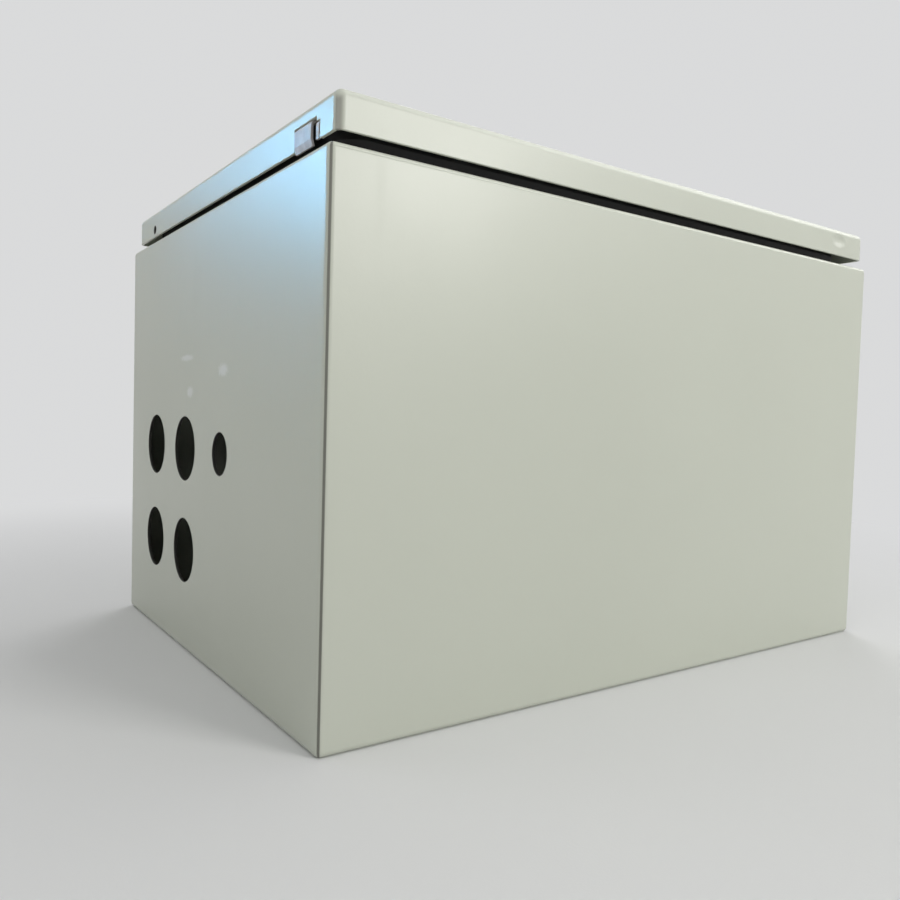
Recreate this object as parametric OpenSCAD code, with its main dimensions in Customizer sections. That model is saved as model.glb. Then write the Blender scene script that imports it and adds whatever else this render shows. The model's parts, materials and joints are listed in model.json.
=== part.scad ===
// Sheet-steel wall enclosure with a hinged door, lying on its back.
// X runs along the long sides, Y along the short sides and Z from the back to the door.
// The end wall with the cable entries is at -X and the hinges are at +Y.

/* [Body] */
// Length of the body along its long sides
body_length = 400; // [340:1:600]
// Width of the body along its short sides
body_width = 300; // [240:1:500]
// Depth of the body from its back to the top of its lip
body_depth = 247; // [190:1:400]
// Thickness of the body's steel sheet
body_sheet = 1.5; // [1:0.1:2.5]
// Outer bend radius of the body's edges
body_bend = 3; // [2.8:0.1:6]
// Width of the gutter from the outer edge to the sealing rim
gutter_width = 15; // [14:0.5:22]
// Height of the sealing rim above the lip
rim_height = 12; // [8:0.5:14]
// Outer corner radius of the sealing rim
rim_corner = 10; // [4:0.5:20]

/* [Cable entries] */
// Diameter of the large cable entries
entry_large_d = 37; // [16:0.5:50]
// Diameter of the small cable entry
entry_small_d = 22.5; // [12:0.5:50]
// Distance between neighbouring cable entries
entry_pitch = 59; // [54:1:70]
// Height of the lower row of cable entries above the back
entry_row_height = 58; // [35:1:90]

/* [Wall fixing] */
// Diameter of the wall-fixing holes in the rear panel
wall_hole_d = 9; // [5:0.5:12]
// Distance of the wall-fixing holes from the body's edges
wall_hole_edge = 22; // [12:1:24]

/* [Door] */
// Gap between the body's lip and the door's flange
door_gap = 5; // [4.5:0.1:8]
// Height of the door's flange
door_flange = 17; // [16.5:0.5:30]
// Thickness of the door's steel sheet
door_sheet = 1.5; // [1:0.1:2]
// Outer bend radius of the door's edges
door_bend = 4; // [2.5:0.1:6]
// Setback of the door from the body at its short ends
door_end_inset = 3.6; // [1:0.1:5]
// Setback of the door from the body at its long sides
door_side_inset = 1.2; // [0.5:0.1:1.4]
// Diameter of the plain hole in the door's short flange
flange_hole_d = 5.2; // [3:0.1:8]
// Distance of the flange hole from the body's long side
flange_hole_edge = 38; // [20:1:60]
// Height of the flange hole above the flange's lower edge
flange_hole_height = 4.6; // [4.2:0.1:9]

/* [Rim seal] */
// Thickness of the rubber seal on each side of the rim
seal_wall = 3; // [2:0.1:4]
// Clearance of the seal from the closed door and from the hinge leaves
seal_clearance = 0.3; // [0.1:0.1:1]

/* [Door guide] */
// Thickness of the guide's spring sheet
guide_sheet = 1.2; // [0.8:0.1:1.5]
// Distance of the guide's notch from the body's long side
guide_edge = 16.5; // [14:0.5:40]
// Width of the guide's narrow leg
guide_leg_width = 2.7; // [2:0.1:6]
// Width of the slot between the guide's two legs
guide_slot_width = 4.8; // [3:0.1:8]
// Width of the guide's wide tongue
guide_tongue_width = 16.7; // [10:0.1:24]
// Height of the notch in the door's flange
guide_notch_height = 9.8; // [8:0.1:10.5]
// Clearance of the guide in its notch
guide_clearance = 0.4; // [0.2:0.1:1]

/* [Hinges] */
// Distance of each hinge from the body's nearer end
hinge_end = 80; // [50:1:130]
// Length of a hinge along its pin
hinge_length = 40; // [30:1:60]
// Length of the door leaf's knuckle
hinge_door_knuckle = 15.5; // [10:0.5:20]
// Outer diameter of the hinge's knuckles
hinge_knuckle_d = 6.8; // [5.6:0.1:6.9]
// Diameter of the hinge pin
hinge_pin_d = 3; // [2:0.1:4]
// Thickness of the hinge leaves
hinge_leaf = 2; // [1.5:0.1:2.4]
// Distance of the hinge axis from the body's long side
hinge_axis_edge = 3.5; // [3.5:0.1:3.9]
// Depth of the hinge axis below the door flange's lower edge
hinge_axis_drop = 0.5; // [0.2:0.1:0.8]

/* [Lock] */
// Distance of the lock's axis from the body's long side
lock_edge = 42; // [40:1:70]
// Diameter of the lock's threaded barrel
lock_barrel_d = 22; // [19:0.5:24]
// Diameter of the lock's outer flange
lock_flange_d = 30; // [27:0.5:40]
// Thickness of the lock's outer flange
lock_flange_t = 3.5; // [2.5:0.1:6]
// Thickness of the flat seal under the lock's flange
lock_seal_t = 1; // [0.5:0.1:2]
// Diameter of the lock's rotor
rotor_d = 14; // [12:0.5:16]
// Width of the lock nut across its flats
lock_nut_flats = 27; // [25.5:0.5:29]
// Thickness of the lock nut
lock_nut_t = 6; // [4:0.5:8]
// Width of the cam
cam_width = 18; // [14:0.5:24]
// Thickness of the cam
cam_t = 3; // [2:0.1:5]
// How far the closed cam reaches under the lip
cam_overlap = 8; // [5:0.5:11]

/* [Mounting plate] */
// Thickness of the mounting plate
plate_t = 2; // [1.5:0.1:3]
// Distance of the plate's edges from the body's outer sides
plate_edge = 30; // [26:1:50]
// Height of the plate's underside above the rear panel
plate_height = 15; // [8:0.5:30]
// Distance of the studs from the plate's edges
stud_edge = 15; // [10:1:30]
// Diameter of the plate studs
stud_d = 8; // [5:0.5:9]

/* [Earthing] */
// Diameter of the earth studs
earth_stud_d = 6; // [4:0.5:8]
// Length of the earth studs
earth_stud_length = 20; // [18:0.5:24]
// Distance of the body's earth stud from the plain end wall
earth_stud_edge = 15; // [13:0.5:18]

/* [Hidden] */
$fn = 64;

// Overrun of every cut, so that no cut ends flush with a face
cut_over = 1;
// Radial clearance of turning pins and of loose nuts
running_clearance = 0.05;
// Gap between turning faces
end_play = 0.25;

steel_grey = [0.78, 0.80, 0.77];
zinc_grey = [0.68, 0.69, 0.70];
galvanised = [0.62, 0.65, 0.67];
brass_yellow = [0.80, 0.66, 0.34];
rubber_black = [0.12, 0.12, 0.13];

frame_bend_share = 0.6;
lip_under = body_depth - body_sheet;
rim_top = body_depth + rim_height;
frame_low = lip_under - body_sheet * frame_bend_share;
rim_inner_edge = gutter_width + body_sheet;
rim_inner_corner = max(rim_corner - body_sheet, body_sheet);

door_low = body_depth + door_gap;
door_top = door_low + door_flange;
door_inner_top = door_top - door_sheet;
door_length = body_length - 2 * door_end_inset;
door_width = body_width - 2 * door_side_inset;

seal_edge = gutter_width - seal_wall;
seal_width = body_sheet + 2 * seal_wall;
seal_corner = rim_corner + seal_wall;
seal_low = body_depth + hinge_leaf + seal_clearance;
seal_high = door_inner_top - seal_clearance;

// Cable entries as multiples of their pitch from the middle and the lower row
entry_large_shares = [[0.5, 0], [1.5, 0], [0.5, 1], [1.5, 1]];
entry_small_shares = [[-0.5, 1]];

// Hinge sizes that follow from the pin, the knuckle and the leaf
hinge_y = body_width / 2 - hinge_axis_edge;
hinge_z = door_low - hinge_axis_drop;
hinge_knuckle_gap = 0.6;
hinge_leaf_low = hinge_knuckle_d / 2 + hinge_knuckle_gap;
hinge_leaf_high = door_inner_top - hinge_z - door_bend;
hinge_flange_y = hinge_axis_edge - door_side_inset - door_sheet;
hinge_seat_z = body_depth - hinge_z;
hinge_plate_reach = gutter_width - hinge_axis_edge - hinge_knuckle_gap;
hinge_body_knuckle = (hinge_length - hinge_door_knuckle) / 2 - end_play;
pin_head_share = 1.6;
pin_head_d = hinge_pin_d * pin_head_share;
pin_head_t_share = 0.4;
pin_head_t = hinge_pin_d * pin_head_t_share;
hinge_notch_gap = pin_head_t + hinge_knuckle_gap;

// Lock sizes that follow from the door and the lip
lock_y = lock_edge - body_width / 2;
lock_seat = door_top + lock_seal_t;
lock_face = lock_seat + lock_flange_t;
cam_clearance = 1;
cam_top = lip_under - cam_clearance;
cam_low = cam_top - cam_t;
lock_barrel_low = cam_top + end_play;
lock_hole_clearance = 0.25;
rotor_head_rim = 3;
rotor_head_d = rotor_d + rotor_head_rim;
rotor_head_t = 4;
rotor_recess = 0.8;
rotor_square_share = 0.6;
rotor_square = rotor_d * rotor_square_share;
key_socket_share = 0.72;
key_socket_d = rotor_d * key_socket_share;
key_socket_depth = 10;
key_core_share = 0.4;
key_core_d = key_socket_d * key_core_share;
key_wing_share = 0.3;
key_wing_t = key_socket_d * key_wing_share;
cam_length = lock_edge - rim_inner_edge + cam_overlap;
cam_screw_share = 0.6;
cam_screw_d = rotor_square * cam_screw_share;
cam_screw_depth = 8;
screw_head_share = 1.8;
cam_screw_head_d = cam_screw_d * screw_head_share;
screw_head_t_share = 0.6;
cam_screw_head_t = cam_screw_d * screw_head_t_share;
cam_washer_share = 0.8;
cam_washer_d = cam_width * cam_washer_share;
cam_washer_t = 1.2;
driver_slot_share = 0.25;

// Studs, washers and nuts follow their thread's diameter
shoulder_share = 1.75;
washer_share = 2;
washer_t_share = 0.2;
nut_flats_share = 1.6;
nut_t_share = 0.8;
thread_end_share = 0.4;

plate_low = body_sheet + plate_height;
plate_top = plate_low + plate_t;
plate_length = body_length - 2 * plate_edge;
plate_width = body_width - 2 * plate_edge;
plate_corner = 6;
plate_hole_clearance = 0.5;
stud_x = plate_length / 2 - stud_edge;
stud_y = plate_width / 2 - stud_edge;

earth_body_x = body_length / 2 - earth_stud_edge;
earth_body_y_share = -0.2;
earth_door_x_share = -0.375;
earth_door_y_share = 0.33;

// Guide outline: the flange's outer face, the levels of its bends and how far its leg sits lower
flange_x = -door_length / 2;
guide_mid = guide_sheet / 2;
guide_seat_x = flange_x + door_sheet + guide_mid;
guide_proud = 0.3;
guide_face_x = flange_x - guide_proud + guide_mid;
guide_crease = 1.9;
guide_lean = 0.8;
guide_tip_drop = 1.1;
guide_step = 2;
guide_joggle = 0.8;
guide_seat_low = guide_notch_height - guide_clearance - 2 * running_clearance;
guide_shoulder = guide_seat_low - guide_joggle;
guide_seat_high = door_flange - door_bend;
guide_tip_x = guide_face_x + guide_lean;
guide_notch_y = guide_edge - body_width / 2;
guide_leg_y = guide_notch_y + guide_clearance;
guide_slot_y = guide_leg_y + guide_leg_width;
guide_tongue_y = guide_slot_y + guide_slot_width;
guide_notch_end = guide_tongue_y + guide_tongue_width + guide_clearance;

// Rectangle with round corners, centred on the origin
module round_rect(length, width, r) {
    square([length - 2 * r, width], center = true);
    square([length, width - 2 * r], center = true);
    for (sx = [-1, 1], sy = [-1, 1])
        translate([sx * (length / 2 - r), sy * (width / 2 - r)])
            circle(r);
}

// Block that leaves a ball corner of radius r where it is cut away
module corner_block(r) {
    difference() {
        cube(r + cut_over);
        sphere(r);
    }
}

// Box standing on z = 0 whose twelve edges are all bent to radius r
module soft_box(length, width, height, r) {
    difference() {
        intersection() {
            linear_extrude(height)
                round_rect(length, width, r);
            translate([0, width / 2, height / 2])
                rotate([90, 0, 0])
                    linear_extrude(width)
                        round_rect(length, height, r);
            translate([-length / 2, 0, height / 2])
                rotate([90, 0, 90])
                    linear_extrude(length)
                        round_rect(width, height, r);
        }
        for (mx = [0, 1], my = [0, 1], mz = [0, 1])
            translate([0, 0, height / 2])
                mirror([mx, 0, 0])
                    mirror([0, my, 0])
                        mirror([0, 0, mz])
                            translate([length / 2 - r, width / 2 - r, height / 2 - r])
                                corner_block(r);
    }
}

// Upright ring with round corners, set in from the body's outline
module frame_ring(edge, thickness, corner, low, high) {
    inner_corner = max(corner - thickness, body_sheet);
    translate([0, 0, low])
        difference() {
            linear_extrude(high - low)
                round_rect(body_length - 2 * edge, body_width - 2 * edge, corner);
            translate([0, 0, -cut_over])
                linear_extrude(high - low + 2 * cut_over)
                    round_rect(
                        body_length - 2 * (edge + thickness),
                        body_width - 2 * (edge + thickness),
                        inner_corner
                    );
        }
}

// Points along one side of a bent sheet, mitred at each bend
function sheet_side(points, reach) = [
    for (i = [0 : len(points) - 1])
        let(
            before = points[max(i, 1)] - points[max(i, 1) - 1],
            last = min(i, len(points) - 2),
            after = points[last + 1] - points[last],
            a = before / norm(before),
            b = after / norm(after)
        )
        points[i] + reach * [-a[1] - b[1], a[0] + b[0]] / (1 + a * b)
];

// Section of a sheet t thick that is bent along a line of points
module bent_sheet(points, t) {
    left = sheet_side(points, t / 2);
    right = sheet_side(points, -t / 2);
    polygon(concat(left, [for (i = [len(right) - 1 : -1 : 0]) right[i]]));
}

// Round hole along X through an end wall or flange at x
module hole_along_x(x, y, z, d, wall) {
    translate([x - cut_over, y, z])
        rotate([0, 90, 0])
            cylinder(d = d, h = wall + 2 * cut_over);
}

// Plain washer with its lower face on z = 0
module washer(d, hole_d, t) {
    difference() {
        cylinder(d = d, h = t);
        translate([0, 0, -cut_over])
            cylinder(d = hole_d, h = t + 2 * cut_over);
    }
}

// Hexagon nut with its lower face on z = 0
module hex_nut(flats, hole_d, t) {
    difference() {
        cylinder(d = flats / cos(30), h = t, $fn = 6);
        translate([0, 0, -cut_over])
            cylinder(d = hole_d, h = t + 2 * cut_over);
    }
}

// Welded stud that stands on z = 0, with a chamfered end
module weld_stud(d, length) {
    tip = d * thread_end_share / 2;
    cylinder(d = d, h = length - tip);
    translate([0, 0, length - tip])
        cylinder(d1 = d, d2 = d - 2 * tip, h = tip);
}

// Children at the four corners of a rectangle
module at_corners(x, y) {
    for (sx = [-1, 1], sy = [-1, 1])
        translate([sx * x, sy * y, 0])
            children();
}

// Children at a hinge's axis, with side -1 at the entry wall's end
module at_hinge(side) {
    translate([side * (body_length / 2 - hinge_end), hinge_y, hinge_z])
        children();
}

// Knuckle along X, centred at x
module knuckle(x, length, bore_d) {
    translate([x - length / 2, 0, 0])
        rotate([0, 90, 0])
            difference() {
                cylinder(d = hinge_knuckle_d, h = length);
                translate([0, 0, -cut_over])
                    cylinder(d = bore_d, h = length + 2 * cut_over);
            }
}

// Whole folded body: walls, lip, gutter and sealing rim
module body_form() {
    difference() {
        union() {
            soft_box(body_length, body_width, body_depth, body_bend);
            frame_ring(gutter_width, body_sheet, rim_corner, lip_under, rim_top);
        }
        translate([0, 0, body_sheet])
            soft_box(
                body_length - 2 * body_sheet,
                body_width - 2 * body_sheet,
                body_depth - 2 * body_sheet,
                body_bend - body_sheet
            );
        translate([0, 0, lip_under - cut_over])
            linear_extrude(body_sheet + rim_height + 2 * cut_over)
                round_rect(
                    body_length - 2 * rim_inner_edge,
                    body_width - 2 * rim_inner_edge,
                    rim_inner_corner
                );
    }
}

// Mitred zone that an end wall fills, between the rear panel's bend and the rim frame
module end_zone(side) {
    reach = rim_inner_edge;
    outer_x = side * (body_length / 2 + cut_over);
    inner_x = side * (body_length / 2 - reach);
    outer_y = body_width / 2 + cut_over;
    inner_y = body_width / 2 - reach;
    translate([0, 0, body_bend])
        linear_extrude(frame_low - body_bend)
            polygon([[outer_x, -outer_y], [inner_x, -inner_y], [inner_x, inner_y], [outer_x, outer_y]]);
}

// Zone above the walls that the rim frame fills
module frame_zone() {
    translate([-body_length / 2 - cut_over, -body_width / 2 - cut_over, frame_low])
        cube([body_length + 2 * cut_over, body_width + 2 * cut_over, rim_top]);
}

module body_wrap() {
    color(steel_grey)
        difference() {
            body_form();
            frame_zone();
            end_zone(-1);
            end_zone(1);
            at_corners(body_length / 2 - wall_hole_edge, body_width / 2 - wall_hole_edge)
                translate([0, 0, -cut_over])
                    cylinder(d = wall_hole_d, h = body_sheet + 2 * cut_over);
        }
}

// Lip, gutter and sealing rim round the door opening, down into the lip's bend
module rim_frame() {
    color(steel_grey)
        intersection() {
            body_form();
            frame_zone();
        }
}

module entry_wall() {
    color(steel_grey)
        difference() {
            intersection() {
                body_form();
                end_zone(-1);
            }
            for (place = entry_large_shares)
                hole_along_x(
                    -body_length / 2,
                    place[0] * entry_pitch,
                    entry_row_height + place[1] * entry_pitch,
                    entry_large_d,
                    body_sheet
                );
            for (place = entry_small_shares)
                hole_along_x(
                    -body_length / 2,
                    place[0] * entry_pitch,
                    entry_row_height + place[1] * entry_pitch,
                    entry_small_d,
                    body_sheet
                );
        }
}

module end_wall() {
    color(steel_grey)
        intersection() {
            body_form();
            end_zone(1);
        }
}

// Tray whose open side is cut off level at the flange's lower edge
module door_tray() {
    full = 2 * door_flange;
    translate([0, 0, door_top - full])
        difference() {
            soft_box(door_length, door_width, full, door_bend);
            translate([0, 0, door_sheet])
                soft_box(
                    door_length - 2 * door_sheet,
                    door_width - 2 * door_sheet,
                    full - 2 * door_sheet,
                    door_bend - door_sheet
                );
            translate([-door_length / 2 - cut_over, -door_width / 2 - cut_over, -cut_over])
                cube([door_length + 2 * cut_over, door_width + 2 * cut_over, full - door_flange + cut_over]);
        }
}

// Opening in the flange for the guide, from the given Y value to the notch's end
module guide_notch(from_y, height) {
    translate([flange_x - cut_over, from_y, door_low - cut_over])
        cube([door_sheet + 2 * cut_over, guide_notch_end - from_y, height + cut_over]);
}

module door_panel() {
    notch_length = hinge_length + 2 * hinge_notch_gap;
    notch_high = hinge_leaf_low + hinge_knuckle_gap;
    color(steel_grey)
        difference() {
            door_tray();
            for (side = [-1, 1])
                at_hinge(side)
                    translate([-notch_length / 2, hinge_flange_y - cut_over, -hinge_knuckle_d])
                        cube([notch_length, door_sheet + 2 * cut_over, hinge_knuckle_d + notch_high]);
            guide_notch(guide_notch_y, guide_notch_height - guide_step);
            guide_notch(guide_slot_y + guide_clearance, guide_notch_height);
            hole_along_x(
                flange_x,
                body_width / 2 - flange_hole_edge,
                door_low + flange_hole_height,
                flange_hole_d,
                door_sheet
            );
            translate([0, lock_y, door_inner_top - cut_over])
                cylinder(d = lock_barrel_d + 2 * lock_hole_clearance, h = door_sheet + 2 * cut_over);
        }
}

// Rubber profile that is pushed over the rim and meets the door
module rim_seal() {
    slot_edge = gutter_width - running_clearance;
    slot_width = body_sheet + 2 * running_clearance;
    color(rubber_black)
        difference() {
            frame_ring(seal_edge, seal_width, seal_corner, seal_low, seal_high);
            frame_ring(
                slot_edge,
                slot_width,
                rim_corner + running_clearance,
                seal_low - cut_over,
                rim_top + running_clearance
            );
        }
}

// Part of the guide between two Y values, bent along the given points
module guide_part(y, width, points) {
    translate([0, y + width, door_low])
        rotate([90, 0, 0])
            linear_extrude(width)
                bent_sheet(points, guide_sheet);
}

module door_guide() {
    seat_top = [guide_seat_x, guide_seat_high];
    seat_foot = [guide_seat_x, guide_seat_low];
    shoulder = [guide_face_x, guide_shoulder];
    leg = [
        seat_top,
        seat_foot - [0, guide_step],
        shoulder - [0, guide_step],
        [guide_face_x, 0]
    ];
    tongue = [
        seat_top,
        seat_foot,
        shoulder,
        [guide_face_x, guide_crease],
        [guide_tip_x, -guide_tip_drop]
    ];
    color(zinc_grey) {
        guide_part(guide_leg_y, guide_leg_width, leg);
        guide_part(guide_slot_y, guide_slot_width, [seat_top, seat_foot]);
        guide_part(guide_tongue_y, guide_tongue_width, tongue);
    }
}

module hinge_body_leaf(side) {
    knuckle_x = (hinge_length - hinge_body_knuckle) / 2;
    color(zinc_grey)
        at_hinge(side) {
            translate([-hinge_length / 2, -hinge_plate_reach, hinge_seat_z])
                cube([hinge_length, hinge_plate_reach - hinge_leaf_low, hinge_leaf]);
            for (end = [-1, 1])
                difference() {
                    union() {
                        knuckle(end * knuckle_x, hinge_body_knuckle, hinge_pin_d);
                        translate([end * knuckle_x - hinge_body_knuckle / 2, -hinge_leaf_low, hinge_seat_z])
                            cube([hinge_body_knuckle, hinge_leaf_low, hinge_leaf]);
                    }
                    translate([end * knuckle_x - hinge_body_knuckle / 2 - cut_over, 0, 0])
                        rotate([0, 90, 0])
                            cylinder(d = hinge_pin_d, h = hinge_body_knuckle + 2 * cut_over);
                }
        }
}

module hinge_door_leaf(side) {
    color(zinc_grey)
        at_hinge(side) {
            translate([-hinge_length / 2, hinge_flange_y - hinge_leaf, hinge_leaf_low])
                cube([hinge_length, hinge_leaf, hinge_leaf_high - hinge_leaf_low]);
            difference() {
                union() {
                    knuckle(0, hinge_door_knuckle, hinge_pin_d);
                    translate([-hinge_door_knuckle / 2, hinge_flange_y - hinge_leaf, 0])
                        cube([hinge_door_knuckle, hinge_leaf, hinge_leaf_low]);
                }
                translate([-hinge_door_knuckle / 2 - cut_over, 0, 0])
                    rotate([0, 90, 0])
                        cylinder(
                            d = hinge_pin_d + 2 * running_clearance,
                            h = hinge_door_knuckle + 2 * cut_over
                        );
            }
        }
}

module hinge_pin(side) {
    color(zinc_grey)
        at_hinge(side)
            translate([-hinge_length / 2, 0, 0])
                rotate([0, 90, 0]) {
                    cylinder(d = hinge_pin_d, h = hinge_length);
                    translate([0, 0, hinge_length])
                        cylinder(d = pin_head_d, h = pin_head_t);
                }
}

module lock_housing() {
    bevel = lock_flange_t / 2;
    counterbore_low = lock_face - rotor_recess - rotor_head_t;
    color(zinc_grey)
        translate([0, lock_y, 0])
            difference() {
                union() {
                    translate([0, 0, lock_seat])
                        cylinder(d = lock_flange_d, h = lock_flange_t - bevel);
                    translate([0, 0, lock_face - bevel])
                        cylinder(d1 = lock_flange_d, d2 = lock_flange_d - 2 * bevel, h = bevel);
                    translate([0, 0, lock_barrel_low])
                        cylinder(d = lock_barrel_d, h = lock_seat - lock_barrel_low);
                }
                translate([0, 0, lock_barrel_low - cut_over])
                    cylinder(d = rotor_d + 2 * running_clearance, h = lock_face - lock_barrel_low + 2 * cut_over);
                translate([0, 0, counterbore_low])
                    cylinder(d = rotor_head_d + 2 * running_clearance, h = lock_face - counterbore_low + cut_over);
            }
}

module lock_seal() {
    color(rubber_black)
        translate([0, lock_y, door_top])
            washer(lock_flange_d, lock_barrel_d + 2 * running_clearance, lock_seal_t);
}

module lock_nut() {
    color(zinc_grey)
        translate([0, lock_y, door_inner_top - lock_nut_t])
            hex_nut(lock_nut_flats, lock_barrel_d + 2 * running_clearance, lock_nut_t);
}

module lock_rotor() {
    head_top = lock_face - rotor_recess;
    head_low = head_top - rotor_head_t;
    color(zinc_grey)
        translate([0, lock_y, 0])
            difference() {
                union() {
                    translate([0, 0, head_low])
                        cylinder(d = rotor_head_d, h = rotor_head_t);
                    translate([0, 0, cam_top])
                        cylinder(d = rotor_d, h = head_low - cam_top);
                    translate([-rotor_square / 2, -rotor_square / 2, cam_low])
                        cube([rotor_square, rotor_square, cam_t]);
                }
                translate([0, 0, head_top - key_socket_depth])
                    difference() {
                        cylinder(d = key_socket_d, h = key_socket_depth + cut_over);
                        cylinder(d = key_core_d, h = key_socket_depth);
                        translate([-key_socket_d / 2, -key_wing_t / 2, 0])
                            cube([key_socket_d, key_wing_t, key_socket_depth - rotor_recess]);
                    }
                translate([0, 0, cam_low - cut_over])
                    cylinder(d = cam_screw_d, h = cam_screw_depth + cut_over);
            }
}

// Cam that points along +X when open, with a round tip
module lock_cam() {
    tip_r = cam_width / 2;
    hole = rotor_square + 2 * running_clearance;
    color(galvanised)
        translate([0, lock_y, cam_low])
            linear_extrude(cam_t)
                difference() {
                    union() {
                        circle(tip_r);
                        translate([0, -tip_r])
                            square([cam_length - tip_r, cam_width]);
                        translate([cam_length - tip_r, 0])
                            circle(tip_r);
                    }
                    square([hole, hole], center = true);
                }
}

module lock_cam_washer() {
    color(galvanised)
        translate([0, lock_y, cam_low - cam_washer_t])
            washer(cam_washer_d, cam_screw_d + 2 * running_clearance, cam_washer_t);
}

module lock_cam_screw() {
    head_low = cam_low - cam_washer_t - cam_screw_head_t;
    slot = cam_screw_d * driver_slot_share;
    color(zinc_grey)
        translate([0, lock_y, head_low])
            difference() {
                union() {
                    cylinder(d = cam_screw_head_d, h = cam_screw_head_t);
                    cylinder(d = cam_screw_d, h = cam_screw_head_t + cam_washer_t + cam_screw_depth);
                }
                translate([-cam_screw_head_d, -slot / 2, -cut_over])
                    cube([2 * cam_screw_head_d, slot, cut_over + cam_screw_head_t / 2]);
            }
}

module mounting_plate() {
    color(galvanised)
        translate([0, 0, plate_low])
            difference() {
                linear_extrude(plate_t)
                    round_rect(plate_length, plate_width, plate_corner);
                at_corners(stud_x, stud_y)
                    translate([0, 0, -cut_over])
                        cylinder(d = stud_d + 2 * plate_hole_clearance, h = plate_t + 2 * cut_over);
            }
}

module plate_studs() {
    length = plate_height + plate_t + stud_d * (washer_t_share + nut_t_share + thread_end_share);
    color(zinc_grey)
        at_corners(stud_x, stud_y)
            translate([0, 0, body_sheet]) {
                weld_stud(stud_d, length);
                cylinder(d = stud_d * shoulder_share, h = plate_height);
            }
}

module plate_washers() {
    color(zinc_grey)
        at_corners(stud_x, stud_y)
            translate([0, 0, plate_top])
                washer(stud_d * washer_share, stud_d + 2 * running_clearance, stud_d * washer_t_share);
}

module plate_nuts() {
    color(zinc_grey)
        at_corners(stud_x, stud_y)
            translate([0, 0, plate_top + stud_d * washer_t_share])
                hex_nut(stud_d * nut_flats_share, stud_d + 2 * running_clearance, stud_d * nut_t_share);
}

// Children on the rear panel at the body's earth point
module at_body_earth() {
    translate([earth_body_x, body_width * earth_body_y_share, body_sheet])
        children();
}

// Children on the door's inner face at its earth point, pointing down
module at_door_earth() {
    translate([body_length * earth_door_x_share, body_width * earth_door_y_share, door_inner_top])
        rotate([180, 0, 0])
            children();
}

module earth_washer() {
    washer(earth_stud_d * washer_share, earth_stud_d + 2 * running_clearance, earth_stud_d * washer_t_share);
}

module earth_nut() {
    translate([0, 0, earth_stud_d * washer_t_share])
        hex_nut(earth_stud_d * nut_flats_share, earth_stud_d + 2 * running_clearance, earth_stud_d * nut_t_share);
}

module body_earth_stud() {
    color(brass_yellow)
        at_body_earth()
            weld_stud(earth_stud_d, earth_stud_length);
}

module body_earth_washer() {
    color(brass_yellow)
        at_body_earth()
            earth_washer();
}

module body_earth_nut() {
    color(brass_yellow)
        at_body_earth()
            earth_nut();
}

module door_earth_stud() {
    color(brass_yellow)
        at_door_earth()
            weld_stud(earth_stud_d, earth_stud_length);
}

module door_earth_washer() {
    color(brass_yellow)
        at_door_earth()
            earth_washer();
}

module door_earth_nut() {
    color(brass_yellow)
        at_door_earth()
            earth_nut();
}

body_wrap();
rim_frame();
entry_wall();
end_wall();
rim_seal();
door_panel();
door_guide();
hinge_body_leaf(-1);  // hinge_body_leaf_lower
hinge_body_leaf(1);  // hinge_body_leaf_upper
hinge_door_leaf(-1);  // hinge_door_leaf_lower
hinge_door_leaf(1);  // hinge_door_leaf_upper
hinge_pin(-1);  // hinge_pin_lower
hinge_pin(1);  // hinge_pin_upper
lock_housing();
lock_seal();
lock_nut();
lock_rotor();
lock_cam();
lock_cam_washer();
lock_cam_screw();
mounting_plate();
plate_studs();
plate_washers();
plate_nuts();
body_earth_stud();
body_earth_washer();
body_earth_nut();
door_earth_stud();
door_earth_washer();
door_earth_nut();
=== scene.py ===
import json
import math

import bpy
from mathutils import Matrix, Vector, noise


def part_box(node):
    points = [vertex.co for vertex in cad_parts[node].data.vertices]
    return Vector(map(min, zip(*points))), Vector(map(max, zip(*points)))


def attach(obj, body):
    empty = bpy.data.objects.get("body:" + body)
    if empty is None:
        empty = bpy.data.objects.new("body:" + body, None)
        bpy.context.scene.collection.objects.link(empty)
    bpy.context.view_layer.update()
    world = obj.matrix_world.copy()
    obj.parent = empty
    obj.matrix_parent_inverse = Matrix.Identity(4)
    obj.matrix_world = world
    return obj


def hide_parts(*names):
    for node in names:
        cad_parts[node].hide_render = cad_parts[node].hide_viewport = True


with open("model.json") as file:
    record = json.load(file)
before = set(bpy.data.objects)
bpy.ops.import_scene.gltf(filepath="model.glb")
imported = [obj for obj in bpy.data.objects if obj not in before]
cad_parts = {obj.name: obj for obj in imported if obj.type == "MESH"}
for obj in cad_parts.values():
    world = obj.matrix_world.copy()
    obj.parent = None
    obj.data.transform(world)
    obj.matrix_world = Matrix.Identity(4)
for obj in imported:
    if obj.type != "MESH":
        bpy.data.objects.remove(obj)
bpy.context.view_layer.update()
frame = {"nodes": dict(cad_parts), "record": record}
nodes = frame["nodes"]
scene = bpy.context.scene
scene.view_settings.view_transform = "Standard"

MM = 0.001
SHEET = 1.5 * MM


# Camera, floor and light

def make_camera():
    right = Vector((0.818568, -0.573695, 0.028635))
    up = Vector((0.001458, 0.051926, 0.99865))
    back = Vector((-0.574407, -0.817422, 0.043341))
    place = Vector((-0.34151, -0.43877, 0.14063))
    data = bpy.data.cameras.new("photo_camera")
    data.sensor_width = 36.0
    data.lens = 32.167
    cam = bpy.data.objects.new("photo_camera", data)
    scene.collection.objects.link(cam)
    rows = [(right[i], up[i], back[i], place[i]) for i in range(3)]
    cam.matrix_world = Matrix((*rows, (0, 0, 0, 1)))
    scene.camera = cam


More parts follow.
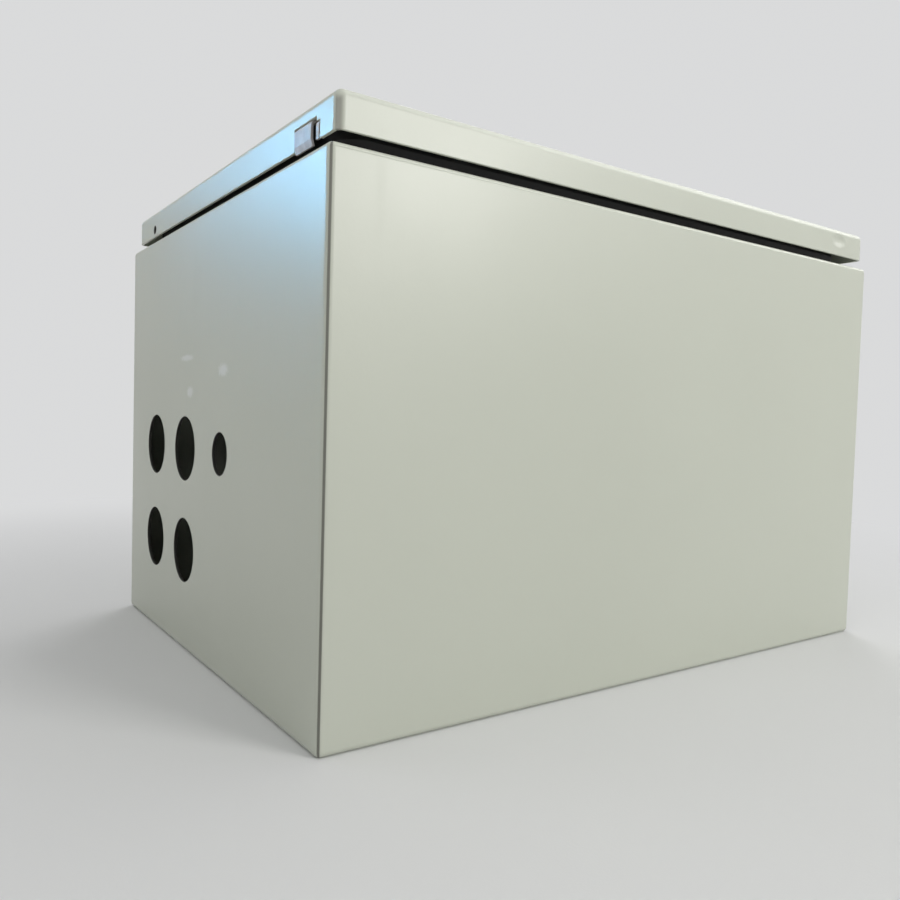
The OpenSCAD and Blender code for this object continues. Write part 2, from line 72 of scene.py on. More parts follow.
# Name, place, target, size, power, colour, where it shows, direction of its first side, spread in degrees.
# A lamp shows in all, in matt only, in gloss only, or in the gloss of the paint only.
LAMPS = (
    ("key", (0.564, -1.444, 0.78), (-0.15, -0.15, 0.22), (0.6, 0.45), 12.0, (1.0, 0.99, 0.955)),
    ("left", (-1.30, -0.55, 0.75), (-0.2, -0.05, 0.12), (0.8, 0.8), 3.7, (1.0, 1.0, 0.97)),
    ("side", (-1.312, 0.808, 1.232), (-0.2, 0.0, 0.14), (1.1, 1.0), 2.2, (1.0, 1.0, 0.97)),
    ("top", (0.1, 0.0, 1.9), (0.0, 0.0, 0.2), (3.0, 3.0), 28.0, (1.0, 1.0, 1.0), "matt"),
    ("back", (1.25, 1.35, 1.0), (0.1, 0.1, 0.12), (1.2, 1.0), 12.0, (1.0, 1.0, 1.0)),
    ("window", (-0.851, 0.901, 0.645), (-0.2, -0.17, 0.258), (0.25, 0.25), 0.083, (0.2, 0.6, 1.0), "gloss",
     (1, 0, 0), 15),
    ("rim", (0.62, -0.33, 1.13), (0.0, -0.15, 0.25), (1.2, 1.0), 6.8, (1.0, 1.0, 0.98), "paint"),
    ("edge", (1.05, -0.58, 1.16), (0.0, -0.15, 0.25), (1.35, 0.35), 3.6, (1.0, 1.0, 0.98), "paint",
     (1.06, 0.52, -0.46)),
)

SLOT_OF = {part["node"]: part["material_slot"] for part in frame["record"]["subparts"]}
painted = bpy.data.collections.new("painted")
for name, slot in SLOT_OF.items():
    if slot == "painted_steel":
        painted.objects.link(nodes[name])


def area_light(name, place, target, size, power, colour, shows="all", along=(1, 0, 0), spread=180):
    data = bpy.data.lights.new(name, "AREA")
    data.shape = "RECTANGLE"
    data.size, data.size_y = size
    data.energy = power
    data.color = colour
    data.spread = math.radians(spread)
    lamp = bpy.data.objects.new(name, data)
    scene.collection.objects.link(lamp)
    lamp.visible_diffuse = shows in ("all", "matt")
    lamp.visible_glossy = shows != "matt"
    if shows == "paint":
        lamp.light_linking.receiver_collection = painted
    back = (Vector(place) - Vector(target)).normalized()
    up = back.cross(Vector(along)).normalized()
    axes = (up.cross(back), up, back, Vector(place))
    lamp.matrix_world = Matrix((*([axis[i] for axis in axes] for i in range(3)), (0, 0, 0, 1)))


class Graph:
    """A procedural material: its nodes are added by short calls."""

    def __init__(self, name):
        self.material = bpy.data.materials.new(name)
        self.material.use_nodes = True
        self.tree = self.material.node_tree
        self.shader = self.tree.nodes["Principled BSDF"]
        self.coords = self.node("ShaderNodeTexCoord").outputs["Object"]

    def node(self, kind, **settings):
        made = self.tree.nodes.new(kind)
        for key, value in settings.items():
            setattr(made, key, value)
        return made

    def feed(self, socket, value):
        if isinstance(value, bpy.types.NodeSocket):
            self.tree.links.new(value, socket)
        else:
            socket.default_value = value

    def set(self, **inputs):
        for key, value in inputs.items():
            self.feed(self.shader.inputs[key.replace("_", " ").title().replace("Ior", "IOR")], value)

    def stretched(self, stretch):
        made = self.node("ShaderNodeMapping")
        self.feed(made.inputs["Vector"], self.coords)
        made.inputs["Scale"].default_value = stretch
        return made.outputs["Vector"]

    def noise(self, scale, detail=2.0, rough=0.5, stretch=None, distort=0.0):
        made = self.node("ShaderNodeTexNoise")
        self.feed(made.inputs["Vector"], self.stretched(stretch) if stretch else self.coords)
        made.inputs["Scale"].default_value = scale
        made.inputs["Detail"].default_value = detail
        made.inputs["Roughness"].default_value = rough
        made.inputs["Distortion"].default_value = distort
        return made.outputs["Fac"]

    def cells(self, scale, feature="F1", output="Distance"):
        made = self.node("ShaderNodeTexVoronoi", feature=feature)
        self.feed(made.inputs["Vector"], self.coords)
        made.inputs["Scale"].default_value = scale
        return made.outputs[output]

    def math(self, operation, a, b=0.0):
        made = self.node("ShaderNodeMath", operation=operation)
        self.feed(made.inputs[0], a)
        self.feed(made.inputs[1], b)
        return made.outputs[0]

    def remap(self, value, low, high, to_low=0.0, to_high=1.0):
        made = self.node("ShaderNodeMapRange", interpolation_type="SMOOTHSTEP")
        self.feed(made.inputs["Value"], value)
        for key, number in zip(("From Min", "From Max", "To Min", "To Max"), (low, high, to_low, to_high)):
            made.inputs[key].default_value = number
        return made.outputs["Result"]

    def mix(self, factor, a, b):
        made = self.node("ShaderNodeMix", data_type="RGBA")
        self.feed(made.inputs[0], factor)
        self.feed(made.inputs[6], (*a, 1.0) if isinstance(a, tuple) else a)
        self.feed(made.inputs[7], (*b, 1.0) if isinstance(b, tuple) else b)
        return made.outputs[2]

    def spot(self, centre, reach, ragged=0.0, grain=400.0, core=0.35):
        """1 in the core round centre, 0 beyond the reach along each axis, with a ragged edge."""
        shift = self.node("ShaderNodeVectorMath", operation="SUBTRACT")
        self.feed(shift.inputs[0], self.coords)
        shift.inputs[1].default_value = centre
        scale = self.node("ShaderNodeVectorMath", operation="DIVIDE")
        self.feed(scale.inputs[0], shift.outputs["Vector"])
        scale.inputs[1].default_value = reach
        far = self.node("ShaderNodeVectorMath", operation="LENGTH")
        self.feed(far.inputs[0], scale.outputs["Vector"])
        distance = far.outputs["Value"]
        if ragged:
            distance = self.math("ADD", distance, self.math("MULTIPLY", self.noise(grain, 3.0), ragged))
        return self.remap(distance, core + ragged / 2, 1.0 + ragged / 2, 1.0, 0.0)

    def corner_angle(self, half_x, half_y, r):
        """Degrees round each upright corner of a box, from its X face to its Y face, and the height."""
        parts = self.node("ShaderNodeSeparateXYZ")
        self.feed(parts.inputs[0], self.coords)
        x = self.math("SUBTRACT", self.math("ABSOLUTE", parts.outputs["X"]), half_x - r)
        y = self.math("SUBTRACT", self.math("ABSOLUTE", parts.outputs["Y"]), half_y - r)
        return self.math("MULTIPLY", self.math("ARCTAN2", y, x), 180 / math.pi), parts.outputs["Z"]

    def bump(self, height, depth, normal=None):
        made = self.node("ShaderNodeBump")
        made.inputs["Strength"].default_value = 1.0
        made.inputs["Distance"].default_value = depth
        self.feed(made.inputs["Height"], height)
        if normal:
            self.feed(made.inputs["Normal"], normal)
        return made.outputs["Normal"]


def seen_rays(tree):
    """1 for the rays that show the background: those of the camera, of gloss and through glass."""
    ray = tree.nodes.new("ShaderNodeLightPath")
    total = ray.outputs["Is Camera Ray"]
    for key in ("Is Glossy Ray", "Is Transmission Ray"):
        both = tree.nodes.new("ShaderNodeMath")
        both.operation = "MAXIMUM"
        tree.links.new(total, both.inputs[0])
        tree.links.new(ray.outputs[key], both.inputs[1])
        total = both.outputs[0]
    return total


def make_stage():
    """A pale background, a pale floor that fades into it with distance, and the lamps."""
    background = (0.70, 0.705, 0.71)
    fade_from, fade_to = 0.30, 0.85
    world = bpy.data.worlds.new("studio")
    scene.world = world
    world.use_nodes = True
    tree = world.node_tree
    lit = tree.nodes["Background"]
    lit.inputs["Color"].default_value = (0.97, 0.99, 1.0, 1.0)
    way = tree.nodes.new("ShaderNodeTexCoord")
    toward = tree.nodes.new("ShaderNodeVectorMath")
    toward.operation = "DOT_PRODUCT"
    toward.inputs[1].default_value = (-0.82, -0.57, 0.0)
    tree.links.new(way.outputs["Generated"], toward.inputs[0])
    level = tree.nodes.new("ShaderNodeMapRange")
    for key, number in zip(("From Min", "From Max", "To Min", "To Max"), (0.2, 1.0, 0.07, 0.02)):
        level.inputs[key].default_value = number
    tree.links.new(toward.outputs["Value"], level.inputs["Value"])
    tree.links.new(level.outputs["Result"], lit.inputs["Strength"])
    seen = tree.nodes.new("ShaderNodeBackground")
    seen.inputs["Color"].default_value = (*background, 1.0)
    shown = seen_rays(tree)
    mix = tree.nodes.new("ShaderNodeMixShader")
    tree.links.new(shown, mix.inputs[0])
    tree.links.new(lit.outputs[0], mix.inputs[1])
    tree.links.new(seen.outputs[0], mix.inputs[2])
    tree.links.new(mix.outputs[0], tree.nodes["World Output"].inputs["Surface"])

    rings = [0.0, 0.6, 1.5, 3.0, 6.0, 14.0]
    sides = 48
    points, faces = [(0, 0, 0)], []
    for r in rings[1:]:
        angles = [math.tau * k / sides for k in range(sides)]
        points += [(r * math.cos(angle), r * math.sin(angle), 0) for angle in angles]
    for k in range(sides):
        after = (k + 1) % sides
        faces.append((0, 1 + k, 1 + after))
        for ring in range(len(rings) - 2):
            low, high = 1 + ring * sides, 1 + (ring + 1) * sides
            faces.append((low + k, high + k, high + after, low + after))
    mesh = bpy.data.meshes.new("floor")
    mesh.from_pydata(points, [], faces)
    floor = bpy.data.objects.new("floor", mesh)
    scene.collection.objects.link(floor)
    g = Graph("floor_paper")
    tone = g.mix(g.noise(2.5, 3.0), (0.70, 0.705, 0.71), (0.74, 0.745, 0.75))
    g.set(base_color=tone, roughness=0.75, normal=g.bump(g.noise(900.0, 3.0), 0.00004))
    away = g.node("ShaderNodeEmission")
    away.inputs["Color"].default_value = (*background, 1.0)
    length = g.node("ShaderNodeVectorMath", operation="LENGTH")
    g.feed(length.inputs[0], g.coords)
    fade = g.node("ShaderNodeMixShader")
    far = g.remap(length.outputs["Value"], fade_from, fade_to)
    g.feed(fade.inputs[0], g.math("MULTIPLY", far, seen_rays(g.tree)))
    g.feed(fade.inputs[1], g.shader.outputs[0])
    g.feed(fade.inputs[2], away.outputs[0])
    g.feed(g.tree.nodes["Material Output"].inputs["Surface"], fade.outputs[0])
    mesh.materials.append(g.material)

    for light in LAMPS:
        area_light(*light)


# Materials

BODY_HALF, BODY_BEND = (0.200, 0.150), 3 * MM
DOOR_HALF, DOOR_BEND = (0.1964, 0.1488), 4 * MM
# Heights that bound the painted shade at the body's corner seams and across the door's corner bends.
SEAM_SHADE_TOP, WELD_SHADE_BOTTOM = 0.2485, 0.2515
FLANGE_HOLE_Y, FLANGE_HOLE_RISE, FLANGE_HOLE_R = 0.112, 4.6 * MM, 2.6 * MM

# Centre and reach along each axis
RUB_MARKS = (
    ((-0.200, 0.0274, 0.1690), (0.004, 0.0150, 0.0024)),
    ((-0.200, -0.0332, 0.1604), (0.004, 0.0095, 0.0044)),
    ((-0.200, 0.0210, 0.1495), (0.004, 0.0075, 0.0042)),
)
DENT = ((0.1674, -0.1488, 0.2610), (0.0095, 0.004, 0.0048))


def painted_steel():
    """Light grey powder coat: orange peel, faint clouds, rub marks, a dent, dark corner seams on the body
    with painted shade, painted shade across the door's corner bends and painted shade on the hole walls.
    """
    g = Graph("painted_steel")
    cloud = g.noise(6.0, 4.0, 0.55)
    tone = g.mix(cloud, (0.565, 0.590, 0.512), (0.600, 0.625, 0.545))
    speck = g.remap(g.noise(1300.0, 1.0), 0.60, 0.78)
    tone = g.mix(g.math("MULTIPLY", speck, 0.07), tone, (0.40, 0.43, 0.39))
    marks = None
    for centre, reach in RUB_MARKS:
        mark = g.spot(centre, reach, 0.8, 520.0)
        marks = g.math("MAXIMUM", marks, mark) if marks else mark
    tone = g.mix(g.math("MULTIPLY", marks, 0.75), tone, (0.80, 0.81, 0.79))
    # Dark seam line round the body's upright corners: a joint line, darkened further as painted shade in the
    # bend.
    angle, height = g.corner_angle(*BODY_HALF, BODY_BEND)
    seam_and_shade = g.remap(g.math("ABSOLUTE", g.math("SUBTRACT", angle, 50.0)), 7.0, 15.0, 1.0, 0.0)
    seam_and_shade = g.math("MULTIPLY", seam_and_shade, g.math("LESS_THAN", height, SEAM_SHADE_TOP))
    # Painted shade across the door's upright corner bends, from about 22 to 82 degrees of the turn, with a
    # ground weld line where the band starts.
    angle, height = g.corner_angle(*DOOR_HALF, DOOR_BEND)
    weld = g.math("MULTIPLY", g.remap(angle, 22.0, 30.0), g.remap(angle, 50.0, 82.0, 1.0, 0.0))
    weld = g.math("MULTIPLY", weld, g.math("GREATER_THAN", height, WELD_SHADE_BOTTOM))
    weld = g.math("MULTIPLY", weld, g.remap(height, 0.2635, 0.2665, 1.0, 0.0))
    # Mix in the painted shade of the body's corner seams and of the door's corner bends.
    tone = g.mix(g.math("MULTIPLY", seam_and_shade, 0.84), tone, (0.10, 0.095, 0.08))
    tone = g.mix(g.math("MULTIPLY", weld, 0.62), tone, (0.17, 0.16, 0.14))
    # Painted shade: the walls of the cable entries and of the flange hole are drawn near black.
    holes = [(mount["pos_m"], mount["dims"]["r_mm"] * MM) for mount in frame["record"]["mounts"]
             if mount["name"].startswith("cable_entry")]
    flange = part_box("door_panel")[0]
    centre = (flange.x + SHEET / 2, FLANGE_HOLE_Y, flange.z + FLANGE_HOLE_RISE)
    holes.append((centre, FLANGE_HOLE_R))
    hole_shade = None
    for place, r in holes:
        edge = r + 0.3 * MM
        cut = g.spot(place, (0.04, edge, edge), core=0.985)
        hole_shade = g.math("MAXIMUM", hole_shade, cut) if hole_shade else cut
    # Hole walls mixed to near black as painted shade.
    tone = g.mix(hole_shade, tone, (0.045, 0.043, 0.04))
    rub = g.remap(g.noise(34.0, 5.0, 0.62, (1.0, 1.0, 0.35), 0.6), 0.52, 0.80)
    rough = g.math("ADD", g.remap(g.noise(9.0, 3.0), 0.3, 0.7, 0.33, 0.39), g.math("MULTIPLY", rub, 0.06))
    rough = g.math("ADD", rough, g.math("MULTIPLY", marks, 0.18))
    dent = g.spot(*DENT, ragged=0.5, grain=130.0, core=0.1)
    dent = g.math("MULTIPLY", dent, 5.0)
    wave = g.bump(g.noise(11.0, 1.0), 0.00045, g.bump(g.math("ADD", dent, seam_and_shade), -0.0002))
    peel = g.bump(g.noise(400.0, 1.0, 0.45), 0.000024, wave)
    g.set(base_color=tone, roughness=rough, normal=peel, specular_ior_level=0.55)
    return g.material


def black_rubber():
    """Extruded rubber: fine drag lines, a dusty bloom in places."""
    g = Graph("black_rubber")
    bloom = g.remap(g.noise(45.0, 4.0, 0.6), 0.48, 0.78)
    tone = g.mix(bloom, (0.016, 0.016, 0.017), (0.034, 0.034, 0.036))
    grain = g.noise(1600.0, 2.0)
    g.set(base_color=tone, roughness=g.remap(bloom, 0.0, 1.0, 0.55, 0.72), normal=g.bump(grain, 0.00002))
    return g.material


def zinc_plate():
    """Clear zinc plating: silver with a faint blue and straw tint and fine drag lines."""
    g = Graph("zinc_plated_steel")
    tint = g.noise(90.0, 3.0, 0.6)
    tone = g.mix(tint, (0.60, 0.615, 0.64), (0.70, 0.69, 0.655))
    stain = g.remap(g.noise(260.0, 4.0, 0.65), 0.56, 0.74)
    tone = g.mix(g.math("MULTIPLY", stain, 0.35), tone, (0.42, 0.42, 0.42))
    lines = g.noise(900.0, 2.0, 0.5, (1.0, 1.0, 0.12))
    rough = g.math("ADD", g.remap(lines, 0.3, 0.7, 0.26, 0.40), g.math("MULTIPLY", stain, 0.14))
    g.set(base_color=tone, metallic=1.0, roughness=rough, normal=g.bump(lines, 0.000012))
    return g.material


def dull_zinc():
    """Zinc plating with a matt white bloom, rubbed brighter in streaks."""
    g = Graph("dull_zinc")
    bloom = g.remap(g.noise(210.0, 4.0, 0.6), 0.40, 0.70)
    tone = g.mix(bloom, (0.47, 0.445, 0.445), (0.59, 0.565, 0.56))
    streak = g.noise(700.0, 2.0, 0.5, (1.0, 1.0, 0.15))
    rough = g.math("ADD", g.remap(streak, 0.3, 0.7, 0.52, 0.60), g.math("MULTIPLY", bloom, 0.1))
    g.set(base_color=tone, metallic=0.35, roughness=rough, normal=g.bump(streak, 0.00001))
    return g.material


def galvanised_sheet():
    """Hot-dip galvanised sheet: crystal flakes of differing tone."""
    g = Graph("galvanised_steel")
    flake = g.cells(85.0, output="Color")
    level = g.node("ShaderNodeSeparateColor")
    g.feed(level.inputs[0], flake)
    tone = g.mix(level.outputs[0], (0.44, 0.458, 0.472), (0.54, 0.558, 0.572))
    bloom = g.remap(g.noise(14.0, 4.0), 0.45, 0.75)
    tone = g.mix(g.math("MULTIPLY", bloom, 0.3), tone, (0.57, 0.58, 0.58))
    rough = g.math("ADD", g.remap(level.outputs[1], 0.0, 1.0, 0.36, 0.47), g.math("MULTIPLY", bloom, 0.1))
    edge = g.remap(g.cells(85.0, "DISTANCE_TO_EDGE"), 0.0, 0.06)
    g.set(base_color=tone, metallic=1.0, roughness=rough, normal=g.bump(edge, 0.00001))
    return g.material


def brass():
    """Turned brass that has dulled a little."""
    g = Graph("brass")
    tone = g.mix(g.noise(180.0, 4.0, 0.6), (0.74, 0.55, 0.24), (0.83, 0.66, 0.34))
    dull = g.remap(g.noise(420.0, 3.0), 0.5, 0.75)
    tone = g.mix(g.math("MULTIPLY", dull, 0.4), tone, (0.42, 0.30, 0.14))
    lines = g.noise(1400.0, 2.0, 0.5, (0.1, 0.1, 1.0))
    rough = g.math("ADD", g.remap(lines, 0.3, 0.7, 0.22, 0.34), g.math("MULTIPLY", dull, 0.15))
    g.set(base_color=tone, metallic=1.0, roughness=rough, normal=g.bump(lines, 0.00001))
    return g.material


make_camera()
make_stage()
FINISH = {
    "painted_steel": painted_steel(),
    "black_rubber": black_rubber(),
    "zinc_plated_steel": zinc_plate(),
    "dull_zinc": dull_zinc(),
    "galvanised_steel": galvanised_sheet(),
    "brass": brass(),
}


def soften(piece, width, segments=2, weld=False):
    """Round every cut edge a little and keep flat faces flat in shading."""
    if weld:
        joined = piece.modifiers.new("weld", "WELD")
        joined.merge_threshold = 0.000002
    bevel = piece.modifiers.new("edge", "BEVEL")
    bevel.width = width
    bevel.segments = segments
    bevel.limit_method = "ANGLE"
    bevel.angle_limit = math.radians(40)
    bevel.use_clamp_overlap = True
    normals = piece.modifiers.new("shade", "WEIGHTED_NORMAL")
    normals.weight = 100
    normals.keep_sharp = False


for name, node in nodes.items():
    node.data.materials.clear()
    node.data.materials.append(FINISH[SLOT_OF[name]])


# Pieces

def add_piece(name, points, faces, slot, body, replaced=(), smooth=True):
    mesh = bpy.data.meshes.new(name)
    mesh.from_pydata([tuple(p) for p in points], [], faces)
    mesh.validate()
    mesh.update()
    mesh.polygons.foreach_set("use_smooth", [smooth] * len(mesh.polygons))
    mesh.materials.append(FINISH[slot])
    piece = bpy.data.objects.new(name, mesh)
    scene.collection.objects.link(piece)
    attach(piece, body)
    if replaced:
        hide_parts(*replaced)
    return piece


# Door guide: one sheet with a narrow leg and a wide tongue, folded with small radii

def rounded_line(points, r, steps=5):
    """The line through points, with each inner corner turned on radius r."""
    line = [Vector(points[0])]
    for before, corner, after in zip(points, points[1:], points[2:]):
        a = (Vector(before) - Vector(corner)).normalized()
        b = (Vector(after) - Vector(corner)).normalized()
        half = a.angle(b) / 2
        reach = r / math.tan(half)
        centre = Vector(corner) + (a + b).normalized() * (r / math.sin(half))
        start = Vector(corner) + a * reach - centre
        end = Vector(corner) + b * reach - centre
        for k in range(steps + 1):
            line.append(centre + start.slerp(end, k / steps).normalized() * r)
    line.append(Vector(points[-1]))
    return line


def sheet_sides(line, t):
    """The two faces of a sheet t thick whose middle follows line."""
    left, right = [], []
    for i, point in enumerate(line):
        along = (line[min(i + 1, len(line) - 1)] - line[max(i - 1, 0)]).normalized()
        out = Vector((-along.y, along.x)) * (t / 2)
        left.append(point + out)
        right.append(point - out)
    return left, right


def make_guide():
    low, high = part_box("door_guide")
    door_low, flange_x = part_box("door_panel")[0].z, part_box("door_panel")[0].x
    t = 1.2 * MM
    seat_x = flange_x + SHEET + t / 2
    face_x = low.x + t / 2
    crease = 1.9 * MM
    lean = 0.8 * MM
    seat_low = door_low + 9.3 * MM
    leg_low = seat_low - 2.0 * MM
    joggle = 0.8 * MM
    bridge = (seat_x, seat_low + 0.7 * MM)
    bend = 0.75 * MM
    top = [Vector((seat_x, high.z))]
    lines = (
        top + rounded_line([bridge, (seat_x, leg_low), (face_x, leg_low - joggle),
                            (face_x, door_low)], bend),
        top + rounded_line([bridge, (seat_x, seat_low), (face_x, seat_low - joggle),
                            (face_x, door_low + crease), (face_x + lean, door_low - 1.1 * MM)], bend),
    )
    spans = ((low.y, low.y + 2.7 * MM), (high.y - 16.7 * MM, high.y))
    points, faces, strips = [], [], []
    for line, span in zip(lines, spans):
        rows = []
        for a, b in zip(*sheet_sides(line, t)):
            rows.append(tuple(range(len(points), len(points) + 4)))
            points += [(a.x, span[0], a.y), (a.x, span[1], a.y), (b.x, span[1], b.y), (b.x, span[0], b.y)]
        strips.append(rows)
    leg, tongue = strips
    for rows, open_side in ((leg, 1), (tongue, 3)):
        for i, (one, two) in enumerate(zip(rows, rows[1:])):
            for k in range(4):
                if i or k != open_side:
                    after = (k + 1) % 4
                    faces.append((one[k], two[k], two[after], one[after]))
        faces.append(rows[0])
        faces.append(tuple(reversed(rows[-1])))
    faces.append((leg[0][1], leg[1][1], tongue[1][0], tongue[0][0]))
    faces.append((leg[0][2], tongue[0][3], tongue[1][3], leg[1][2]))
    faces.append((leg[0][1], tongue[0][0], tongue[0][3], leg[0][2]))
    faces.append((leg[1][1], leg[1][2], tongue[1][3], tongue[1][0]))
    piece = add_piece("guide_sheet", points, faces, "zinc_plated_steel", "door", ["door_guide"])
    piece.data.materials[0] = FINISH["dull_zinc"]
    soften(piece, 0.16 * MM)


# Rim seal

def rect_path(half_x, half_y, r, corner_steps, side_steps):
    """Points and outward normals round a rectangle with round corners."""
    path = []
    corners = [(half_x - r, half_y - r, 0), (r - half_x, half_y - r, 90),
               (r - half_x, r - half_y, 180), (half_x - r, r - half_y, 270)]
    for i, (x, y, turn) in enumerate(corners):
        for k in range(corner_steps + 1):
            angle = math.radians(turn + 90 * k / corner_steps)
            out = Vector((math.cos(angle), math.sin(angle)))
            path.append((Vector((x, y)) + out * r, out))
        nx, ny, after = corners[(i + 1) % 4]
        first, out = path[-1]
        angle = math.radians(after)
        last = Vector((nx, ny)) + Vector((math.cos(angle), math.sin(angle))) * r
        for k in range(1, side_steps):
            path.append((first.lerp(last, k / side_steps), out))
    return path


def make_seal():
    """Rubber profile pushed over the rim: two legs, a waist and a bulb, butted at mid-side."""
    low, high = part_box("rim_seal")
    half = 3.75 * MM
    rim_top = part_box("rim_frame")[1].z
    slot = 0.85 * MM
    bulb = high.z - half
    outer = [(slot, low.z), (2.5 * MM, low.z), (3.05 * MM, low.z + 0.25 * MM), (3.3 * MM, low.z + 0.9 * MM),
             (3.4 * MM, low.z + 4.0 * MM), (3.75 * MM, low.z + 4.5 * MM), (3.75 * MM, low.z + 5.0 * MM),
             (3.4 * MM, low.z + 5.5 * MM), (3.3 * MM, rim_top - 0.4 * MM), (2.7 * MM, rim_top + 0.3 * MM),
             (2.55 * MM, rim_top + 0.9 * MM)]
    start = math.asin((rim_top + 1.4 * MM - bulb) / half)
    dome = [start + (math.pi / 2 - start) * k / 12 for k in range(13)]
    outer += [(half * math.cos(a), bulb + half * math.sin(a)) for a in dome]
    section = outer + [(-u, z) for u, z in reversed(outer[:-1])]
    section += [(-slot, rim_top + 0.05 * MM), (slot, rim_top + 0.05 * MM)]
    corner_steps, side_steps = 14, 40
    path = rect_path(high.x - half, high.y - half, 9.25 * MM, corner_steps, side_steps)
    half_side = corner_steps + side_steps // 2
    path = path[half_side:] + path[:half_side + 1]
    butt_gap = 0.12 * MM
    points, faces = [], []
    last = len(path) - 1
    for i, (middle, out) in enumerate(path):
        along = Vector((-out.y, out.x))
        at = middle + along * (butt_gap if i == 0 else -butt_gap if i == last else 0.0)
        sway = 1 + 0.012 * noise.noise(Vector((at.x * 30, at.y * 30, 1.7)))
        for u, z in section:
            bulge = sway if z > rim_top else 1.0
            points.append((at.x + out.x * u * bulge, at.y + out.y * u * bulge, z))
    size = len(section)
    for i in range(last):
        a, b = i * size, (i + 1) * size
        for k in range(size):
            after = (k + 1) % size
            faces.append((a + k, b + k, b + after, a + after))
    faces.append(tuple(range(size)))
    faces.append(tuple(last * size + k for k in reversed(range(size))))
    add_piece("seal_profile", points, faces, "black_rubber", "body", ["rim_seal"])


# Studs and nuts

def lathe(rows, place, sides, points, faces, up=1):
    """Adds a closed turned form to points and faces. A row is (z, r), where r may depend on the angle."""
    first = len(points)
    for z, r in rows:
        for k in range(sides):
            angle = math.tau * k / sides
            reach = r(angle) if callable(r) else r
            points.append((place[0] + reach * math.cos(angle), place[1] + up * reach * math.sin(angle),
                           place[2] + up * z))
    for i in range(len(rows) - 1):
        a, b = first + i * sides, first + (i + 1) * sides
        for k in range(sides):
            after = (k + 1) % sides
            faces.append((a + k, a + after, b + after, b + k))
    faces.append(tuple(first + k for k in reversed(range(sides))))
    last = first + (len(rows) - 1) * sides
    faces.append(tuple(last + k for k in range(sides)))


def thread_rows(d, pitch, low, high, steps=6):
    """Rows of a right-hand thread from low to high, with a pointed end."""
    depth = 0.54 * pitch
    rows = []
    count = int((high - low) / pitch * steps)
    for i in range(count + 1):
        z = low + (high - low) * i / count

        def radius(angle, z=z):
            phase = (z / pitch - angle / math.tau) % 1.0
            crest = abs(2 * phase - 1)
            cut = depth * min(max(1.25 * crest - 0.125, 0.0), 1.0)
            end = d / 2 - max(0.0, z - (high - 0.2 * d))
            return min(d / 2 - cut, end)

        rows.append((z, radius))
    return rows


def make_plate_studs():
    low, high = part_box("plate_studs")
    d, pitch = 8 * MM, 1.25 * MM
    shoulder = 14 * MM
    points, faces = [], []
    x, y = high.x - shoulder / 2, high.y - shoulder / 2
    top = 15 * MM
    ease = 0.6 * MM
    for sx in (-1, 1):
        for sy in (-1, 1):
            def flash(angle, sx=sx, sy=sy):
                return shoulder / 2 - 0.0002 + 0.0002 * noise.noise(
                    Vector((math.cos(angle) * 3 + sx, math.sin(angle) * 3 + sy, 0.5)))
            neck = shoulder / 2 - 0.5 * MM
            rows = [(0, flash), (0.5 * MM, flash), (1.1 * MM, neck), (top - ease, neck), (top, neck - ease),
                    (top, d / 2 - 0.4 * MM)]
            rows += thread_rows(d, pitch, top + 0.2 * MM, high.z - low.z)
            lathe(rows, (sx * x, sy * y, low.z), 36, points, faces)
    add_piece("stud_threads", points, faces, "zinc_plated_steel", "body", ["plate_studs"])


def make_earth_stud(node, body, up):
    low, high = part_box(node)
    d = high.x - low.x
    length = high.z - low.z
    place = ((low.x + high.x) / 2, (low.y + high.y) / 2, low.z if up > 0 else high.z)
    points, faces = [], []
    rows = [(0, d / 2), (0.7 * MM, d / 2), (0.9 * MM, d / 2 - 0.5 * MM)]
    rows += thread_rows(d, 1.0 * MM, 1.0 * MM, length)
    lathe(rows, place, 32, points, faces, up)
    add_piece(node + "_thread", points, faces, "brass", body, [node])


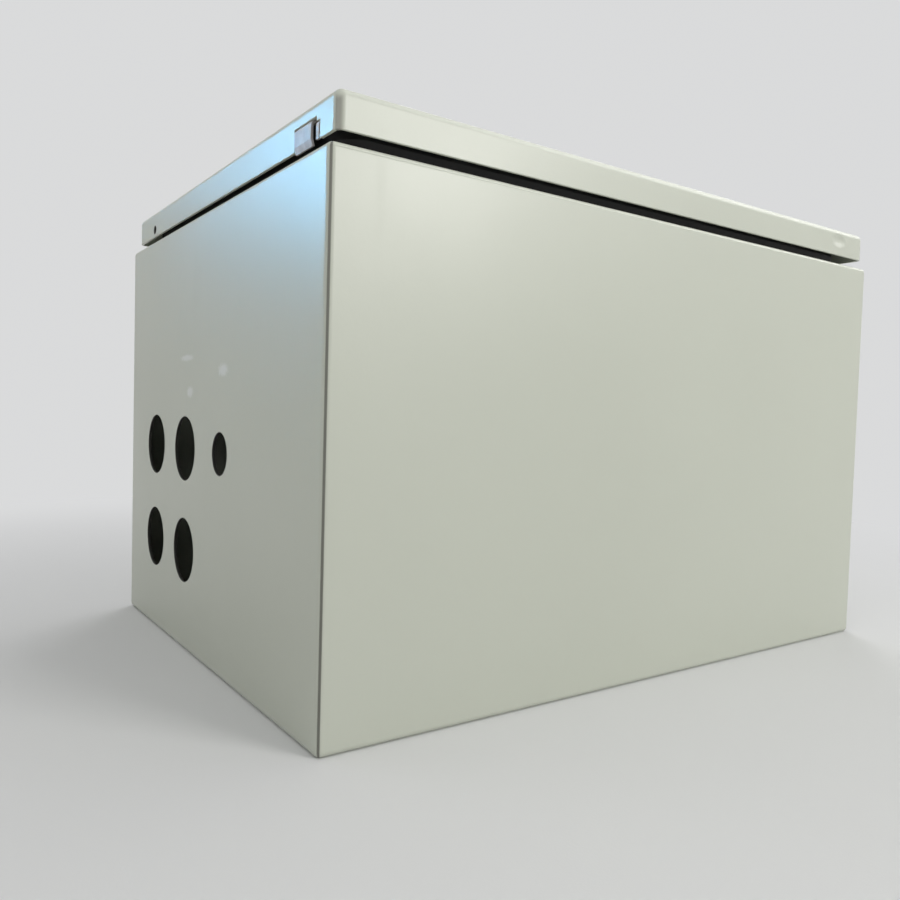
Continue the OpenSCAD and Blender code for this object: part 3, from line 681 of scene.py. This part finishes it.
def make_nuts(name, node, places, flats, hole_d, t, slot, body, up=1):
    """Hexagon nuts whose corners are turned off at both ends."""
    round_r = flats / 2 * 0.96
    sides = 72
    ease = 0.05 * hole_d
    points, faces = [], []
    for place in places:
        first = len(points)
        for k in range(sides):
            angle = math.tau * k / sides
            out = flats / 2 / math.cos((angle + math.pi / 6) % (math.pi / 3) - math.pi / 6)
            drop = max(0.0, out - round_r) * math.tan(math.radians(30))
            loop = [(hole_d / 2, ease), (hole_d / 2 + ease, 0.0), (round_r, 0.0), (out, drop),
                    (out, t - drop), (round_r, t), (hole_d / 2 + ease, t), (hole_d / 2, t - ease)]
            for r, z in loop:
                points.append((place[0] + r * math.cos(angle), place[1] + up * r * math.sin(angle),
                               place[2] + up * z))
        size = len(loop)
        for k in range(sides):
            a, b = first + k * size, first + (k + 1) % sides * size
            for j in range(size):
                after = (j + 1) % size
                faces.append((a + j, b + j, b + after, a + after))
    add_piece(name, points, faces, slot, body, [node], smooth=False)


def make_all_nuts():
    low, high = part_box("plate_nuts")
    flats = 12.8 * MM
    y = high.y - flats / 2
    x = high.x - flats / 2 / math.cos(math.pi / 6)
    places = [(sx * x, sy * y, low.z) for sx in (-1, 1) for sy in (-1, 1)]
    make_nuts("stud_nuts", "plate_nuts", places, flats, 8.1 * MM, high.z - low.z, "zinc_plated_steel", "body")
    for node, body, up in (("body_earth_nut", "body", 1), ("door_earth_nut", "door", -1)):
        low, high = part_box(node)
        place = ((low.x + high.x) / 2, (low.y + high.y) / 2, low.z if up > 0 else high.z)
        make_nuts(node + "_hex", node, [place], high.y - low.y, 6.1 * MM, high.z - low.z, "brass", body, up)
    low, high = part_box("lock_nut")
    place = ((low.x + high.x) / 2, (low.y + high.y) / 2, low.z)
    make_nuts("lock_nut_hex", "lock_nut", [place], high.y - low.y, 22.1 * MM, high.z - low.z,
              "zinc_plated_steel", "door")


make_guide()
make_seal()
make_plate_studs()
make_earth_stud("body_earth_stud", "body", 1)
make_earth_stud("door_earth_stud", "door", -1)
make_all_nuts()

SOFT_EDGES = {
    "painted_steel": 0.30 * MM,
    "galvanised_steel": 0.20 * MM,
    "zinc_plated_steel": 0.20 * MM,
    "brass": 0.15 * MM,
    "black_rubber": 0.15 * MM,
}
for name, node in nodes.items():
    if not node.hide_render:
        soften(node, SOFT_EDGES[SLOT_OF[name]], weld=True)

bpy.context.view_layer.update()
